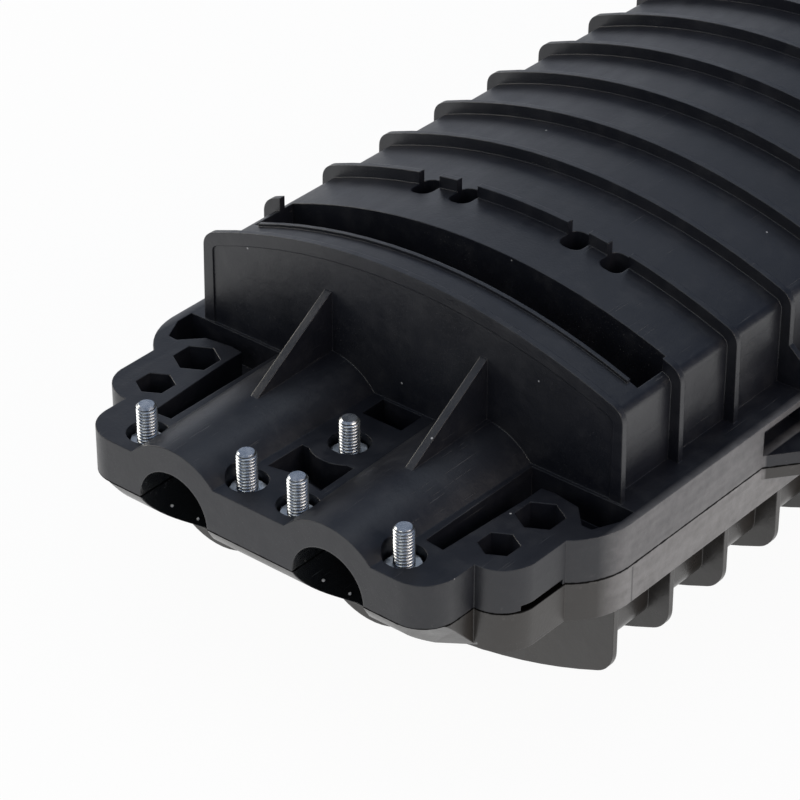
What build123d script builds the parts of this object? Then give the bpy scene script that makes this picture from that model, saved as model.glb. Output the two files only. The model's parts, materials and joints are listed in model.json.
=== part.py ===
from build123d import *
import os

# Outdoor fibre splice box: two ribbed, arched shells that close on a rubber seal, with two cable
# ports at each end, and inside them a steel frame, cable clamps and three hinged splice trays
# under a clear lid.
#
# Millimetres. +X runs along the box, +Y across it, +Z up. While the shapes are drawn, Z = 0 is the
# parting plane between the shells. Every piece is raised by REST as it is written, so the finished
# box stands on Z = 0 with its middle over the origin.

# Body
PITCH = 26.0
RIB = 2.0
BAYS = 11
BODY = PITCH * BAYS + RIB
END_WALL = BODY / 2
SNOUT = 65.0
FRONT = END_WALL + SNOUT
WALL = 3.0
RIM_STEP = 0.4

# Upper shell
UP_HALF = 75.5
UP_CROWN = 57.0
UP_BOW = 198.0
UP_SHOULDER = 5.5
UP_LEAN = 0.9
UP_RISE = 3.8
UP_FLANGE = 13.9

# Lower shell
LOW_HALF = UP_HALF - 0.9
LOW_CROWN = 58.5
LOW_BOW = 174.0
LOW_SHOULDER = 8.0
LOW_SIDE_RISE = 7.1
LOW_RISE = 4.5
LOW_FLANGE = 12.3
FOOT_FLAT = 1.5
REST = LOW_CROWN - FOOT_FLAT

# Flange and snout outline, as distances out from the end wall and across from the middle
FLANGE_OUT = 7.3
FLANGE_HALF = UP_HALF + FLANGE_OUT
LOBE_SIDE = FLANGE_HALF - 8.4
NOSE_SIDE = LOBE_SIDE - 11.7
NOSE_HALF = NOSE_SIDE - 10.7

# Cable ports
PORT_Y = 27.8
PORT_R = 12.5
TAPE_ROOM = 3.5
TAPE_R = PORT_R + TAPE_ROOM
TAPE_FROM = 10.0
TAPE_TO = 44.0
HUMP_NOSE_R = 20.4
HUMP_WALL_R = 21.8
LOW_HUMP_R = 20.2
LOW_HUMP_OUT = 48.0
LIP = 1.7
NOSE_CUT_OUT = 13.9
NOSE_CUT_DOWN = 12.7

# Recesses in the snout's top
RECESS_FLOOR = 4.0
HEX_BIG = 12.0
HEX_SMALL = 10.0

# Gussets between the humps and the end wall
GUSSET_FOOT = 31.4
GUSSET_TOP = 41.0
GUSSET = 2.5

# Handle trough across the crown and hanger pockets at the third rib
SLOT_NEAR = 15.0
SLOT_FAR = 31.5
SLOT_END = 7.0
SLOT_HALF = UP_HALF - SLOT_END
SLOT_FLOOR = 22.0
POCKET_FROM = 46.4
POCKET_TO = 56.0
POCKET_WIDE = 7.4
POCKET_FLOOR = 43.5
POCKETS_Y = (19.9, 33.9)

# M6 fasteners
M6_R = 3.0
M6_HOLE_PLAY = 0.4
M6_HOLE_R = M6_R + M6_HOLE_PLAY
NUT_PLAY = 0.06
M6_NUT_HOLE_R = M6_R + NUT_PLAY
M6_FLATS = 10.0
M6_NUT = 5.2
M6_HEAD = 4.0
TIP_CHAMFER = 0.7
STUD_ROW_OUT = 55.1
STUD_ROW_Y = (9.1, 46.0)
STUD_MID_OUT = 23.3
STUD_TOP = 23.2
STUD_MID_TOP = 21.9
STUD_FOOT = -5.2
COLLAR_R = M6_R + 1.2
COLLAR = 2.0
COLLAR_TOP = -2.0
NUT_WELL_R = M6_FLATS / 2 + 1.0
NUT_WELL_FLOOR = 6.2

# Side ears
EAR_MID = 52.0
EAR_ROOT = 35.6
EAR_TIP = 17.7
EAR_BOLT_OUT = 6.5
EAR_BOLT_Y = FLANGE_HALF + EAR_BOLT_OUT
EAR_EDGE = 7.2
EAR_REACH = EAR_BOLT_Y + EAR_EDGE
EAR_UP = 4.0
EAR_LOW = 3.8
EAR_BOLT_TOP = 16.2
SCOOP_DEEP = 6.3
SCOOP_TOP = 11.9

# Rubber seal
SEAL_WIDE = 4.5
SEAL_DOWN = 3.5
SEAL_UP = 1.0
SEAL_IN = 6.3
SEAL_SIDE_Y = FLANGE_HALF - SEAL_IN
SEAL_SPARE = 0.3

# Steel frame
SHEET = 1.5
FRAME_TOP = -28.5
FRAME_END_GAP = 9.0
FRAME_HALF_LONG = END_WALL - WALL - FRAME_END_GAP
FRAME_FOLD = 7.5
FRAME_WINDOW_LONG = 70.0
FRAME_WINDOW_WIDE = 60.0
BOSS_X = FRAME_HALF_LONG - 20.0
BOSS_IN = 16.5
BOSS_Y = LOW_HALF - LOW_SIDE_RISE - WALL - BOSS_IN
FRAME_EDGE = 10.0
FRAME_HALF_WIDE = BOSS_Y + FRAME_EDGE
M5_R = 2.5
BOSS_R = M5_R + 3.5
M5_HEAD_R = M5_R + 2.0
M5_HEAD = 3.0
M5_LONG = 12.0

# Cable saddles, straps and core clamps
SADDLE_LONG = 12.0
SADDLE_EDGE = 2.0
SADDLE_X = FRAME_HALF_LONG - SADDLE_EDGE - SADDLE_LONG / 2
SADDLE_TOP = -3.0
STRAP = 1.2
STRAP_FOOT_Y = PORT_R + 6.0
SADDLE_HALF = STRAP_FOOT_Y + 3.5
M4_R = 2.0
M4_HEAD_R = M4_R + 1.5
M4_HEAD = 2.4
M4_LONG = 9.0
CORE_X = SADDLE_X - 16.0
CORE_LONG = 10.0
CORE_TALL = 14.0

# Splice trays
TRAYS = 3
HINGE_X = -70.0
HINGE_Z = -12.0
HINGE_BACK = 9.0
HINGE_UP = 11.0
TRAY_FROM = 4.0
TRAY_END_GAP = 4.0
TRAY_LONG = CORE_X - CORE_LONG / 2 - TRAY_END_GAP - HINGE_X - TRAY_FROM
TRAY_HALF = BOSS_Y + 3.0
TRAY_BELOW = 4.7
TRAY_ABOVE = 6.0
TRAY_WALL = 1.6
TRAY_CORNER = 16.0
KNUCKLE = 5.0
PIN_R = 1.5
PIN_PLAY = 0.06
KNUCKLE_R = PIN_R + 2.5
CHEEK_PLAY = 3.0
CHEEK_IN = TRAY_HALF + CHEEK_PLAY
CHEEK = 2.0
PIN_END = 1.0
PIN_HALF = CHEEK_IN + CHEEK + PIN_END
CHEEK_EDGE = 6.0
STAND_FROM = HINGE_X - 14.0
STAND_TO = HINGE_X + 6.0
STAND_SCREW_Y = CHEEK_IN - 19.0
REST_POST_X = 78.0
REST_POST_Y = TRAY_HALF - 11.0
REST_POST_R = 5.0
SEAT = 0.3


def plate(outline, low, high):
    """Raises a plan outline from one height to another."""
    return extrude(Pos(0, 0, low) * outline, amount=high - low, dir=(0, 0, 1))


def along(outline, start, stop):
    """Runs a cross-section, drawn across and up, from start to stop along the box."""
    return extrude(Plane.YZ.offset(start) * outline, amount=stop - start, dir=(1, 0, 0))


def block(x0, x1, y0, y1, z0, z1):
    """A plain block between two corners."""
    middle = Pos((x0 + x1) / 2, (y0 + y1) / 2, (z0 + z1) / 2)
    return middle * Box(abs(x1 - x0), abs(y1 - y0), abs(z1 - z0))


def post(x, y, low, high, radius):
    """A round post or hole standing on one spot."""
    return Pos(x, y, low) * Cylinder(radius, high - low, align=(Align.CENTER, Align.CENTER, Align.MIN))


def rod(x0, x1, y, z, start_r, stop_r):
    """A round bar or cone lying along the box."""
    seat = (Align.CENTER, Align.CENTER, Align.MIN)
    if start_r == stop_r:
        return Pos(x0, y, z) * Rot(0, 90, 0) * Cylinder(start_r, x1 - x0, align=seat)
    return Pos(x0, y, z) * Rot(0, 90, 0) * Cone(start_r, stop_r, x1 - x0, align=seat)


def cross_rod(x, z, half, radius):
    """A round bar lying across the box."""
    return Pos(x, 0, z) * Rot(90, 0, 0) * Cylinder(radius, 2 * half)


def hexagon(x, y, low, high, flats):
    """A hexagonal bar standing on one spot, with two corners along the box."""
    return Pos(x, y, 0) * plate(RegularPolygon(flats / 2, 6, major_radius=False), low, high)


def sides(shape):
    """A shape and its mirror image across the box."""
    return [shape, mirror(shape, Plane.XZ)]


def ends(shapes):
    """Shapes and their mirror images at the other end."""
    return shapes + [mirror(shape, Plane.YZ) for shape in shapes]


def corners(shape):
    """One shape at all four corners of the box."""
    return ends(sides(shape))


def arch(half, crown, bow, shoulder, lean=0.0):
    """Half a shell's cross-section: straight sides, rounded shoulders and an arched crown."""
    sides_up = Polygon((-half, 0), (half, 0), (half - lean, crown), (lean - half, crown), align=None)
    outline = sides_up & (Pos(0, crown - bow) * Circle(bow))
    return fillet(outline.vertices().group_by(Axis.Y)[-1], shoulder)


def keel(half, crown, bow, shoulder):
    """The same cross-section turned downwards."""
    return Rot(0, 0, 180) * arch(half, crown, bow, shoulder)


def flange_plan():
    """The flange and both snouts in plan: straight sides, three lobes a corner and flat noses."""
    e = END_WALL
    edge = Polyline((0, 0), (FRONT, 0), (FRONT, NOSE_HALF))
    edge += TangentArc((FRONT, NOSE_HALF), (e + 54.5, NOSE_SIDE), tangent=(0, 1))
    edge += Line((e + 54.5, NOSE_SIDE), (e + 46.6, NOSE_SIDE))
    edge += ThreePointArc((e + 46.6, NOSE_SIDE), (e + 43.0, LOBE_SIDE - 3.0), (e + 36.3, LOBE_SIDE))
    edge += Line((e + 36.3, LOBE_SIDE), (e + 22.6, LOBE_SIDE))
    edge += ThreePointArc((e + 22.6, LOBE_SIDE), (e + 15.8, FLANGE_HALF - 2.7), (e + 6.0, FLANGE_HALF))
    edge += Polyline((e + 6.0, FLANGE_HALF), (0, FLANGE_HALF), (0, 0))
    quarter = make_face(edge)
    half = quarter + mirror(quarter, Plane.XZ)
    return half + mirror(half, Plane.YZ)


def ear_plan():
    """One side ear, tapering out from the flange to its rounded tip."""
    inner = FLANGE_HALF - 2
    points = [
        (EAR_MID - EAR_ROOT, inner),
        (EAR_MID - EAR_ROOT, FLANGE_HALF),
        (EAR_MID - EAR_TIP, EAR_REACH),
        (EAR_MID + EAR_TIP, EAR_REACH),
        (EAR_MID + EAR_ROOT, FLANGE_HALF),
        (EAR_MID + EAR_ROOT, inner),
    ]
    outline = Polygon(*points, align=None)
    return fillet(outline.vertices().group_by(Axis.Y)[-1], 6.0)


def rib_starts():
    """Where each rib begins along the box."""
    return [PITCH * n - END_WALL for n in range(BAYS + 1)]


def stud_spots():
    """Where the studs stand at both ends: x, y and the height of the tip."""
    row = END_WALL + STUD_ROW_OUT
    mid = END_WALL + STUD_MID_OUT
    spots = []
    for end in (-1, 1):
        for y in STUD_ROW_Y:
            spots += [(end * row, y, STUD_TOP), (end * row, -y, STUD_TOP)]
        spots.append((end * mid, 0.0, STUD_MID_TOP))
    return spots


def ear_spots():
    """Where the side bolts stand: x and y."""
    return [(x, y) for x in (-EAR_MID, EAR_MID) for y in (-EAR_BOLT_Y, EAR_BOLT_Y)]


PLAN = flange_plan()
EARS = corners(plate(ear_plan(), 0, EAR_UP))
MOUTHS = corners(rod(END_WALL - WALL - 1, FRONT + 1, PORT_Y, 0, PORT_R, PORT_R))
TAPE_ROOMS = corners(rod(END_WALL + TAPE_FROM, END_WALL + TAPE_TO, PORT_Y, 0, TAPE_R, TAPE_R))


def seal_run():
    """The seal's centre line for one side of the box, from port to port."""
    e = END_WALL
    lobe = LOBE_SIDE - 4.8
    half = [(e + 37.5, PORT_Y + 17.0), (e + 37.5, lobe), (e + 22.0, lobe), (e + 13.0, SEAL_SIDE_Y)]
    return half + [(-x, y) for x, y in reversed(half)]


def seal_solid(wide, low, high):
    """One side's seal, or the groove for it."""
    path = Polyline(*seal_run())
    return plate(trace(path, line_width=wide), low, high)


def end_seal(wide, low, high):
    """The short strip between the two ports of one end."""
    x = END_WALL + 14.5
    return block(x - wide / 2, x + wide / 2, -11.0, 11.0, low, high)


def upper_shell():
    """The upper shell, with its ribs, snouts, humps, gussets, trough and hanger pockets."""
    bay = arch(UP_HALF - UP_RISE, UP_CROWN - UP_RISE, UP_BOW - UP_RISE, 3.0)
    room = arch(UP_HALF - UP_RISE - WALL, UP_CROWN - UP_RISE - WALL, UP_BOW - UP_RISE - WALL, 3.0)
    rib = arch(UP_HALF, UP_CROWN, UP_BOW, UP_SHOULDER, UP_LEAN)
    shell = along(bay, -END_WALL + 1, END_WALL - 1)
    shell += [along(rib, x, x + RIB) for x in rib_starts()]

    # The wall inside each end's rim stands a little behind it
    inset = UP_RISE + 0.3
    panel = arch(UP_HALF - inset, UP_CROWN - inset, UP_BOW - inset, 2.5)
    shell -= along(panel, END_WALL - RIM_STEP, END_WALL + 1)
    shell -= along(panel, -END_WALL - 1, -END_WALL + RIM_STEP)
    shell = shell + plate(PLAN, 0, UP_FLANGE) + EARS
    humps = corners(rod(END_WALL - 1, FRONT, PORT_Y, 0, HUMP_WALL_R, HUMP_NOSE_R))
    shell += humps
    shell -= block(-FRONT - 1, FRONT + 1, -60, 60, -30, 0)

    # Gussets on the humps and under the ribs beside each ear
    foot = HUMP_WALL_R - (HUMP_WALL_R - HUMP_NOSE_R) * GUSSET_FOOT / SNOUT
    web = Polygon((END_WALL - 1, 10), (END_WALL + GUSSET_FOOT, 10), (END_WALL + GUSSET_FOOT, foot),
                  (END_WALL, GUSSET_TOP), (END_WALL - 1, GUSSET_TOP), align=None)
    web_solid = extrude(Plane.XZ.offset(-PORT_Y) * web, amount=GUSSET / 2, both=True)
    shell += corners(web_solid)
    flare = Polygon((UP_HALF - 2, 2), (EAR_REACH - 4, 2), (EAR_REACH - 4, EAR_UP + 1),
                    (UP_HALF + 9.5, 18.5), (UP_HALF - 0.6, 27), (UP_HALF - 2, 27), align=None)
    for x in rib_starts()[3:5] + rib_starts()[7:9]:
        shell += sides(along(flare, x, x + RIB))

    # The room inside, left solid under the trough and the hanger pockets
    hollow = along(room, WALL - END_WALL, END_WALL - WALL)
    trough = block(END_WALL - SLOT_FAR - WALL, END_WALL - SLOT_NEAR + WALL, -80, 80, SLOT_FLOOR - WALL, 60)
    hollow -= ends([trough])
    boss_y = (POCKETS_Y[0] - POCKET_WIDE / 2 - 2.5, POCKETS_Y[1] + POCKET_WIDE / 2 + 2.5)
    boss = block(END_WALL - POCKET_TO - 2.5, END_WALL - POCKET_FROM + 2.5, *boss_y, POCKET_FLOOR - 2.5, 60)
    hollow -= corners(boss)
    shell -= hollow

    # Handle trough with its raised front lip
    lip = arch(UP_HALF - UP_RISE + 0.9, UP_CROWN - UP_RISE + 0.9, UP_BOW - UP_RISE + 0.9, 3.0)
    lip_solid = along(lip, END_WALL - SLOT_NEAR, END_WALL - SLOT_NEAR + 1.3) & block(0, FRONT, -66, 66, 35, 60)
    shell += ends([lip_solid])
    slot = block(END_WALL - SLOT_FAR, END_WALL - SLOT_NEAR, -SLOT_HALF, SLOT_HALF, SLOT_FLOOR, 60)
    shell -= ends([slot])

    # Hanger pockets, each running back from a rounded front through the third rib
    pocket = RectangleRounded(POCKET_TO - POCKET_FROM, POCKET_WIDE, 3)
    for y in POCKETS_Y:
        spot = Pos(END_WALL - (POCKET_FROM + POCKET_TO) / 2, y)
        shell -= corners(plate(spot * pocket, POCKET_FLOOR, 60))

    # Scoops over the ears
    scoop = block(EAR_MID - EAR_ROOT, EAR_MID + EAR_ROOT, FLANGE_HALF - SCOOP_DEEP, FLANGE_HALF + 1,
                  EAR_UP, SCOOP_TOP)
    for x in rib_starts()[7:9]:
        scoop -= block(x, x + RIB, 0, 100, 0, 30)
    shell -= corners(scoop)

    # Recesses in the snout's top
    deep = []
    deep.append(hexagon(END_WALL + 17.9, LOBE_SIDE - 12.4, RECESS_FLOOR, 20, HEX_BIG))
    deep.append(hexagon(END_WALL + 35.2, LOBE_SIDE - 12.6, RECESS_FLOOR, 20, HEX_SMALL))
    slit = Polygon((0.6, 18.0), (46.0, 18.0), (46.6, 24.4), (14.8, 26.4), (0.6, 26.4), align=None)
    deep.append(Pos(END_WALL, PORT_Y, 0) * plate(slit, RECESS_FLOOR, 20))
    corner = Polygon((0.6, -29.8), (7.6, -29.8), (6.9, -24.2), (8.2, -15.5), (14.4, -9.6), (14.2, -6.4),
                     (6.5, -2.8), (0.6, -2.8), align=None)
    deep.append(Pos(END_WALL, FLANGE_HALF, 0) * plate(corner, RECESS_FLOOR, 20))
    for recess in deep:
        shell -= corners(recess)
    waist = Pos(END_WALL, 0, 0) * plate(Polygon((32.5, -9.2), (32.5, 9.2), (46.3, 9.5), (44.3, 0),
                                        (46.3, -9.5), align=None), RECESS_FLOOR, 20)
    waist -= post(END_WALL + STUD_MID_OUT, 0, 0, 30, 11.5)
    shell -= ends([waist])
    well = block(END_WALL + RIM_STEP, END_WALL + 9.7, -7.0, 7.0, RECESS_FLOOR, 20)
    shell -= ends([well])

    # Cable ports, stud holes and the seal's groove
    shell -= MOUTHS + TAPE_ROOMS
    for x, y, tip in stud_spots():
        shell -= post(x, y, -1, 20, M6_HOLE_R) + post(x, y, NUT_WELL_FLOOR, 24, NUT_WELL_R)
    for x, y in ear_spots():
        shell -= post(x, y, -1, 10, M6_HOLE_R)
    groove = seal_solid(SEAL_WIDE + 2 * SEAL_SPARE, -1, SEAL_UP)
    shell -= sides(groove)
    shell -= ends([end_seal(SEAL_WIDE + 2 * SEAL_SPARE, -1, SEAL_UP)])

    # One lobe no longer closes all the way down
    shell -= block(-END_WALL - 40.2, -END_WALL - 23.6, -76, -71.9, -1, 2.0)
    sprung = Polygon((-END_WALL - 47, -1), (-END_WALL - 40, -1), (-END_WALL - 40, 0.5), (-END_WALL - 47, 0),
                     align=None)
    shell -= extrude(Plane.XZ.offset(60) * sprung, amount=16)
    return shell


def lower_shell():
    """The lower shell, with its ribs, half ports, bosses and seal groove."""
    bay = keel(LOW_HALF - LOW_SIDE_RISE, LOW_CROWN - LOW_RISE, LOW_BOW - LOW_RISE, 6.0)
    room = keel(LOW_HALF - LOW_SIDE_RISE - WALL, LOW_CROWN - LOW_RISE - WALL, LOW_BOW - LOW_RISE - WALL, 4.0)
    rib = keel(LOW_HALF, LOW_CROWN, LOW_BOW, LOW_SHOULDER)
    shell = along(bay, -END_WALL, END_WALL) + plate(PLAN, -LOW_FLANGE, 0)
    shell += [Pos(0, 0, -EAR_LOW) * ear for ear in low_ears()]
    shell += [along(rib, x, x + RIB) for x in rib_starts()]
    shell += corners(rod(END_WALL - 1, END_WALL + LOW_HUMP_OUT, PORT_Y, 0, LOW_HUMP_R, LOW_HUMP_R))
    shell += corners(rod(END_WALL + LOW_HUMP_OUT - 1, FRONT, PORT_Y, 0, PORT_R + LIP, PORT_R + LIP))
    shell -= block(-FRONT - 1, FRONT + 1, -60, 60, 0, 30)

    # The ribs' crowns are flat where the box stands on them
    shell -= block(-FRONT, FRONT, -60, 60, -REST - 10, -REST)

    # Each nose is cut back underneath in a curve, and its corners on a slant
    lip_foot = (FRONT - NOSE_CUT_OUT, -NOSE_CUT_DOWN)
    nose = Polyline((FRONT, 0), (FRONT + 5, 0), (FRONT + 5, -30), (FRONT - NOSE_CUT_OUT - 4, -30),
                    (FRONT - NOSE_CUT_OUT - 4, -NOSE_CUT_DOWN - 4.4), lip_foot)
    nose += ThreePointArc(lip_foot, (FRONT - 5.6, -7.2), (FRONT, 0))
    shell -= ends([extrude(Plane.XZ * make_face(nose), amount=80, both=True)])
    slant = Plane(origin=(FRONT, NOSE_HALF, 0), x_dir=(-0.814, -0.581, 0), z_dir=(-0.581, 0.814, 0))
    wedge = Polygon((0, 0), (-10, 0), (-10, -30), (23, -30), align=None)
    shell -= corners(extrude(slant.offset(-40) * wedge, amount=60.5))

    # The room inside, with bosses that carry the frame
    hollow = along(room, WALL - END_WALL, END_WALL - WALL)
    boss = post(BOSS_X, BOSS_Y, -REST, FRAME_TOP - SHEET, BOSS_R)
    hollow -= corners(boss)
    shell -= hollow
    shell -= corners(post(BOSS_X, BOSS_Y, FRAME_TOP - M5_LONG, 0, M5_R))

    # Half ports and the seal's groove
    shell -= MOUTHS + TAPE_ROOMS
    shell -= sides(seal_solid(SEAL_WIDE, -SEAL_DOWN, 1))
    shell -= ends([end_seal(SEAL_WIDE, -SEAL_DOWN, 1)])
    shell -= end_studs()
    for x, y in ear_spots():
        shell -= post(x, y, -10, 1, M6_R)
    return shell


def low_ears():
    """The lower shell's four ears, drawn from Z = 0 up."""
    return corners(plate(ear_plan(), 0, EAR_LOW))


def end_studs():
    """Ten studs moulded into the lower shell, each held by a collar."""
    studs = []
    for x, y, tip in stud_spots():
        shank = post(x, y, STUD_FOOT, tip, M6_R)
        shank = chamfer(shank.edges().group_by(Axis.Z)[-1], TIP_CHAMFER)
        studs.append(shank + post(x, y, COLLAR_TOP - COLLAR, COLLAR_TOP, COLLAR_R))
    return studs


def nut(x, y, low):
    """A hexagonal nut."""
    return hexagon(x, y, low, low + M6_NUT, M6_FLATS) - post(x, y, low - 1, low + M6_NUT + 1, M6_NUT_HOLE_R)


def side_bolts():
    """Four hexagon bolts pushed up through the ears."""
    bolts = []
    for x, y in ear_spots():
        shank = post(x, y, -EAR_LOW, EAR_BOLT_TOP, M6_R)
        shank = chamfer(shank.edges().group_by(Axis.Z)[-1], TIP_CHAMFER)
        bolts.append(shank + hexagon(x, y, -EAR_LOW - M6_HEAD, -EAR_LOW, M6_FLATS))
    return bolts


def frame():
    """The steel frame: a flat sheet with its long edges folded down."""
    top = plate(Rectangle(2 * FRAME_HALF_LONG, 2 * FRAME_HALF_WIDE), FRAME_TOP - SHEET, FRAME_TOP)
    fold = block(-FRAME_HALF_LONG + 30, FRAME_HALF_LONG - 30, FRAME_HALF_WIDE - SHEET, FRAME_HALF_WIDE,
                 FRAME_TOP - FRAME_FOLD, FRAME_TOP)
    body = top + sides(fold)
    window = plate(RectangleRounded(FRAME_WINDOW_LONG, FRAME_WINDOW_WIDE, 3), FRAME_TOP - 5, FRAME_TOP + 5)
    body -= window
    body -= corners(post(BOSS_X, BOSS_Y, FRAME_TOP - 5, FRAME_TOP + 5, M5_R))
    for y in (-STAND_SCREW_Y, STAND_SCREW_Y):
        body -= post((STAND_FROM + STAND_TO) / 2, y, FRAME_TOP - 5, FRAME_TOP + 5, M4_R)
    return body


def pan_screw(x, y, under, radius, head_r, head, long):
    """A pan-head screw pointing down, its head's underside at the height given."""
    return post(x, y, under - long, under, radius) + post(x, y, under, under + head, head_r)


def saddle():
    """A cradle for one cable on the frame, tapped for its strap."""
    body = block(SADDLE_X - SADDLE_LONG / 2, SADDLE_X + SADDLE_LONG / 2, PORT_Y - SADDLE_HALF,
                 PORT_Y + SADDLE_HALF, FRAME_TOP, SADDLE_TOP)
    body -= rod(SADDLE_X - 20, SADDLE_X + 20, PORT_Y, 0, PORT_R, PORT_R)
    for y in (PORT_Y - STRAP_FOOT_Y, PORT_Y + STRAP_FOOT_Y):
        body -= post(SADDLE_X, y, SADDLE_TOP + STRAP - M4_LONG, 5, M4_R)
    return body


def strap():
    """A steel strap arched over one cable and screwed to its saddle."""
    half = SADDLE_LONG / 2 - 1
    band = rod(SADDLE_X - half, SADDLE_X + half, PORT_Y, 0, PORT_R + STRAP, PORT_R + STRAP)
    band -= block(SADDLE_X - 20, SADDLE_X + 20, -60, 60, -30, SADDLE_TOP)
    band += block(SADDLE_X - half, SADDLE_X + half, PORT_Y - SADDLE_HALF, PORT_Y + SADDLE_HALF,
                  SADDLE_TOP, SADDLE_TOP + STRAP)
    band -= rod(SADDLE_X - 20, SADDLE_X + 20, PORT_Y, 0, PORT_R, PORT_R)
    for y in (PORT_Y - STRAP_FOOT_Y, PORT_Y + STRAP_FOOT_Y):
        band -= post(SADDLE_X, y, -20, 20, M4_R)
    return band


def strap_screws():
    """Two screws that hold one strap."""
    under = SADDLE_TOP + STRAP
    return [pan_screw(SADDLE_X, y, under, M4_R, M4_HEAD_R, M4_HEAD, M4_LONG)
            for y in (PORT_Y - STRAP_FOOT_Y, PORT_Y + STRAP_FOOT_Y)]


def core_clamp():
    """A slotted post that takes the cable's stiff core."""
    body = block(CORE_X - CORE_LONG / 2, CORE_X + CORE_LONG / 2, PORT_Y - 6, PORT_Y + 6, FRAME_TOP,
                 FRAME_TOP + CORE_TALL)
    body -= block(CORE_X - 20, CORE_X + 20, PORT_Y - 1.5, PORT_Y + 1.5, FRAME_TOP + 6, FRAME_TOP + 10)
    body -= post(CORE_X, PORT_Y, FRAME_TOP + 10, FRAME_TOP + 30, M4_R)
    return body


def core_screw():
    """The screw that presses the core down in its post."""
    return pan_screw(CORE_X, PORT_Y, FRAME_TOP + CORE_TALL, M4_R, M4_HEAD_R, M4_HEAD, 4.0)


def hinge(number):
    """Where a tray's hinge pin lies: x and z."""
    return HINGE_X - HINGE_BACK * number, HINGE_Z + HINGE_UP * number


def stand():
    """The stepped stand: a foot across the frame and two cheeks that hold the hinge pins."""
    points = [(STAND_FROM, FRAME_TOP), (STAND_TO, FRAME_TOP)]
    for number in range(TRAYS + 1):
        x, z = hinge(number)
        points += [(x + CHEEK_EDGE, z - HINGE_UP / 2 + 1), (x + CHEEK_EDGE, z + HINGE_UP / 2 + 1)]
    x, z = hinge(TRAYS)
    points += [(x - CHEEK_EDGE + 1, z + HINGE_UP / 2 + 1), (x - CHEEK_EDGE + 1, z - CHEEK_EDGE)]
    outline = Polygon(*points, align=None)
    cheek = extrude(Plane.XZ.offset(-CHEEK_IN) * outline, amount=-CHEEK)
    body = plate(Pos((STAND_FROM + STAND_TO) / 2, 0) * Rectangle(STAND_TO - STAND_FROM, 2 * CHEEK_IN + 1),
                 FRAME_TOP, FRAME_TOP + CHEEK)
    body += sides(cheek)
    for number in range(TRAYS + 1):
        x, z = hinge(number)
        body -= cross_rod(x, z, 80, PIN_R)
    for y in (-STAND_SCREW_Y, STAND_SCREW_Y):
        body -= post((STAND_FROM + STAND_TO) / 2, y, FRAME_TOP - 5, FRAME_TOP + 5, M4_R)
    return body


def stand_screws():
    """Two screws through the stand's foot into the frame."""
    x = (STAND_FROM + STAND_TO) / 2
    under = FRAME_TOP + CHEEK
    return [pan_screw(x, y, under, M4_R, M4_HEAD_R, M4_HEAD, 6.0) for y in (-STAND_SCREW_Y, STAND_SCREW_Y)]


def knuckles(number, reach):
    """Two arms with the eyes that turn on one hinge pin."""
    x, z = hinge(number)
    eyes = []
    for y in (-TRAY_HALF, TRAY_HALF - KNUCKLE):
        eye = Pos(x, y + KNUCKLE / 2, z) * Rot(90, 0, 0) * Cylinder(KNUCKLE_R, KNUCKLE)
        arm = block(x, x + reach, y, y + KNUCKLE, z - KNUCKLE_R, z + 1)
        eyes.append(eye + arm)
    return eyes


def tray(number):
    """A splice tray: an open pan with two coil guides, turning on its own pin."""
    x, z = hinge(number)
    middle = x + TRAY_FROM + TRAY_LONG / 2
    outer = Pos(middle, 0) * RectangleRounded(TRAY_LONG, 2 * TRAY_HALF, TRAY_CORNER)
    back = Pos(x + TRAY_FROM + TRAY_CORNER, 0) * Rectangle(2 * TRAY_CORNER, 2 * TRAY_HALF)
    outer += back
    inner = offset(outer, -TRAY_WALL)
    body = plate(outer, z - TRAY_BELOW, z + TRAY_ABOVE)
    body -= plate(inner, z - TRAY_BELOW + TRAY_WALL, z + TRAY_ABOVE + 1)
    for side in (-1, 1):
        drum = Pos(middle + side * 46, 0) * (Circle(20) - Circle(18.4))
        gap = Pos(middle + side * 46, 0) * Rectangle(50, 8)
        body += plate(drum - gap, z - TRAY_BELOW + 1, z + TRAY_ABOVE - 2)
    body += knuckles(number, TRAY_FROM + 1)
    return body - cross_rod(x, z, 80, PIN_R + PIN_PLAY)


def splice_holder(number):
    """A comb of upright walls that holds the splices in the middle of one tray."""
    x, z = hinge(number)
    middle = x + TRAY_FROM + TRAY_LONG / 2
    floor = z - TRAY_BELOW + TRAY_WALL
    body = block(middle - 20, middle + 20, -17, 17, floor, floor + 1.2)
    for step in range(7):
        y = -16.2 + 5.4 * step
        body += block(middle - 20, middle + 20, y - 0.8, y + 0.8, floor, floor + 5.5)
    return body


def tray_lid():
    """The clear lid over the top tray, a flat sheet with a short skirt, on the highest pin."""
    x, z = hinge(TRAYS)
    long = TRAY_LONG - 10
    middle = x + TRAY_FROM + long / 2
    outer = Pos(middle, 0) * RectangleRounded(long, 2 * TRAY_HALF, TRAY_CORNER)
    outer += Pos(x + TRAY_FROM + TRAY_CORNER, 0) * Rectangle(2 * TRAY_CORNER, 2 * TRAY_HALF)
    body = plate(outer, z - TRAY_BELOW, z + 1)
    body -= plate(offset(outer, -TRAY_WALL), z - TRAY_BELOW - 1, z - 0.6)
    body += knuckles(TRAYS, TRAY_FROM + 1)
    return body - cross_rod(x, z, 80, PIN_R + PIN_PLAY)


def hinge_pins():
    """Four steel pins held by the stand's cheeks."""
    pins = []
    for number in range(TRAYS + 1):
        x, z = hinge(number)
        pins.append(cross_rod(x, z, PIN_HALF, PIN_R))
    return pins


def tray_rests():
    """Two rubber posts on the frame that the lowest tray lies on."""
    top = hinge(0)[1] - TRAY_BELOW - SEAT
    return sides(post(REST_POST_X, REST_POST_Y, FRAME_TOP, top, REST_POST_R))


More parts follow.
